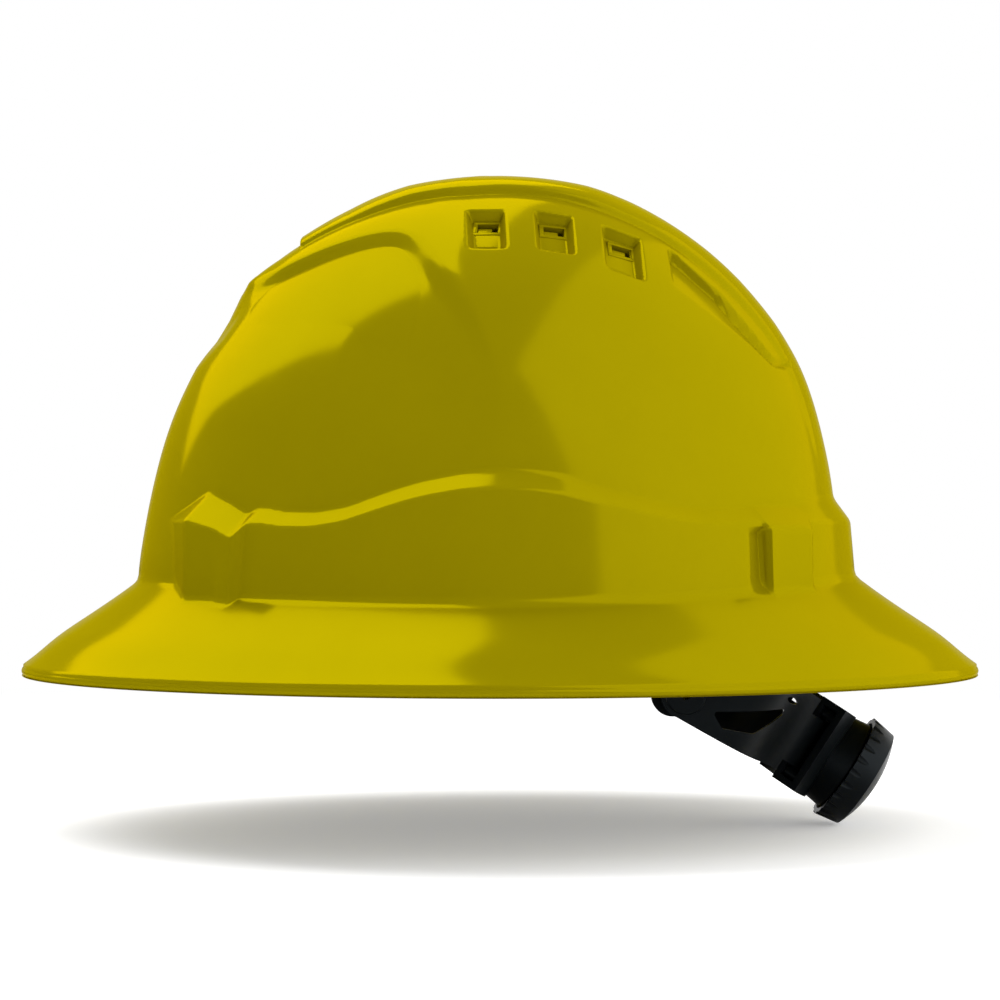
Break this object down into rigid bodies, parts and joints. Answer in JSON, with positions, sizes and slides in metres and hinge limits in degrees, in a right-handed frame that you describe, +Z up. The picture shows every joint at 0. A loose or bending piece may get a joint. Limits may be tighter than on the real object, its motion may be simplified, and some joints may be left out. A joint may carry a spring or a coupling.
{
  "type": "full brim hard hat",
  "caption": "Vented full brim safety helmet with a webbing suspension and a swinging ratchet nape band turned by a round knob.",
  "frame": {"origin": "middle of the plane of the brim's lower edge, where the wearer's head enters", "axes": "+Z up through the crown, -Y to the front of the hat, +X to the wearer's left"},
  "size_m": [0.276, 0.325, 0.2211],
  "materials": {
    "shell_plastic": "glossy moulded ABS, greenish yellow",
    "harness_plastic": "satin black moulded polyethylene",
    "knob_plastic": "satin black moulded plastic with grip flutes",
    "webbing": "woven polyester webbing, black",
    "sweatband_cloth": "brushed terry cloth over foam, black",
    "pad_foam": "soft cloth-faced foam, black",
    "steel": "plain zinc-plated steel"
  },
  "bodies": {
    "root": {"shell": "shell_plastic", "headband": "harness_plastic", "sweatband": "sweatband_cloth", "side_strap": "webbing", "left_front_strap": "webbing", "right_front_strap": "webbing", "left_front_key": "harness_plastic", "left_side_key": "harness_plastic", "left_rear_key": "harness_plastic", "right_front_key": "harness_plastic", "right_side_key": "harness_plastic", "right_rear_key": "harness_plastic"},
    "nape_pivots": {"left_pivot_button": "harness_plastic", "right_pivot_button": "harness_plastic"},
    "ratchet_unit": {"ratchet_base": "harness_plastic", "ratchet_cover": "harness_plastic", "nape_pad": "pad_foam"},
    "left_arm": {"left_nape_arm": "harness_plastic"},
    "right_arm": {"right_nape_arm": "harness_plastic"},
    "knob": {"knob": "knob_plastic", "pinion": "harness_plastic", "pawl_disc": "harness_plastic", "knob_screw": "steel"}
  },
  "joints": [
    {"name": "nape_swing", "type": "hinge", "parent": "root", "child": "nape_pivots", "pos_m": [0, 0.059, -0.003], "axis": [1, 0, 0], "range_deg": [-8, 18]},
    {"name": "size_adjust", "type": "slide", "parent": "nape_pivots", "child": "ratchet_unit", "axis": [0, 0.8387, -0.5446], "range_m": [-0.008, 0.008]},
    {"name": "left_arm_wrap", "type": "hinge", "parent": "ratchet_unit", "child": "left_arm", "pos_m": [0, 0.059, -0.003], "axis": [0, 0.5446, 0.8387], "range_deg": [-6.4, 6.4]},
    {"name": "right_arm_wrap", "type": "hinge", "parent": "ratchet_unit", "child": "right_arm", "pos_m": [0, 0.059, -0.003], "axis": [0, 0.5446, 0.8387], "range_deg": [-6.4, 6.4]},
    {"name": "knob_turn", "type": "hinge", "parent": "ratchet_unit", "child": "knob", "pos_m": [0, 0.06325, 0.00354], "axis": [0, 0.8387, -0.5446], "range_deg": [-69, 69]}
  ],
  "couplings": [
    {"joint": "left_arm_wrap", "follows": "size_adjust", "rad_per_m": -13.699},
    {"joint": "right_arm_wrap", "follows": "size_adjust", "rad_per_m": 13.699},
    {"joint": "knob_turn", "follows": "size_adjust", "rad_per_m": 148.22}
  ]
}
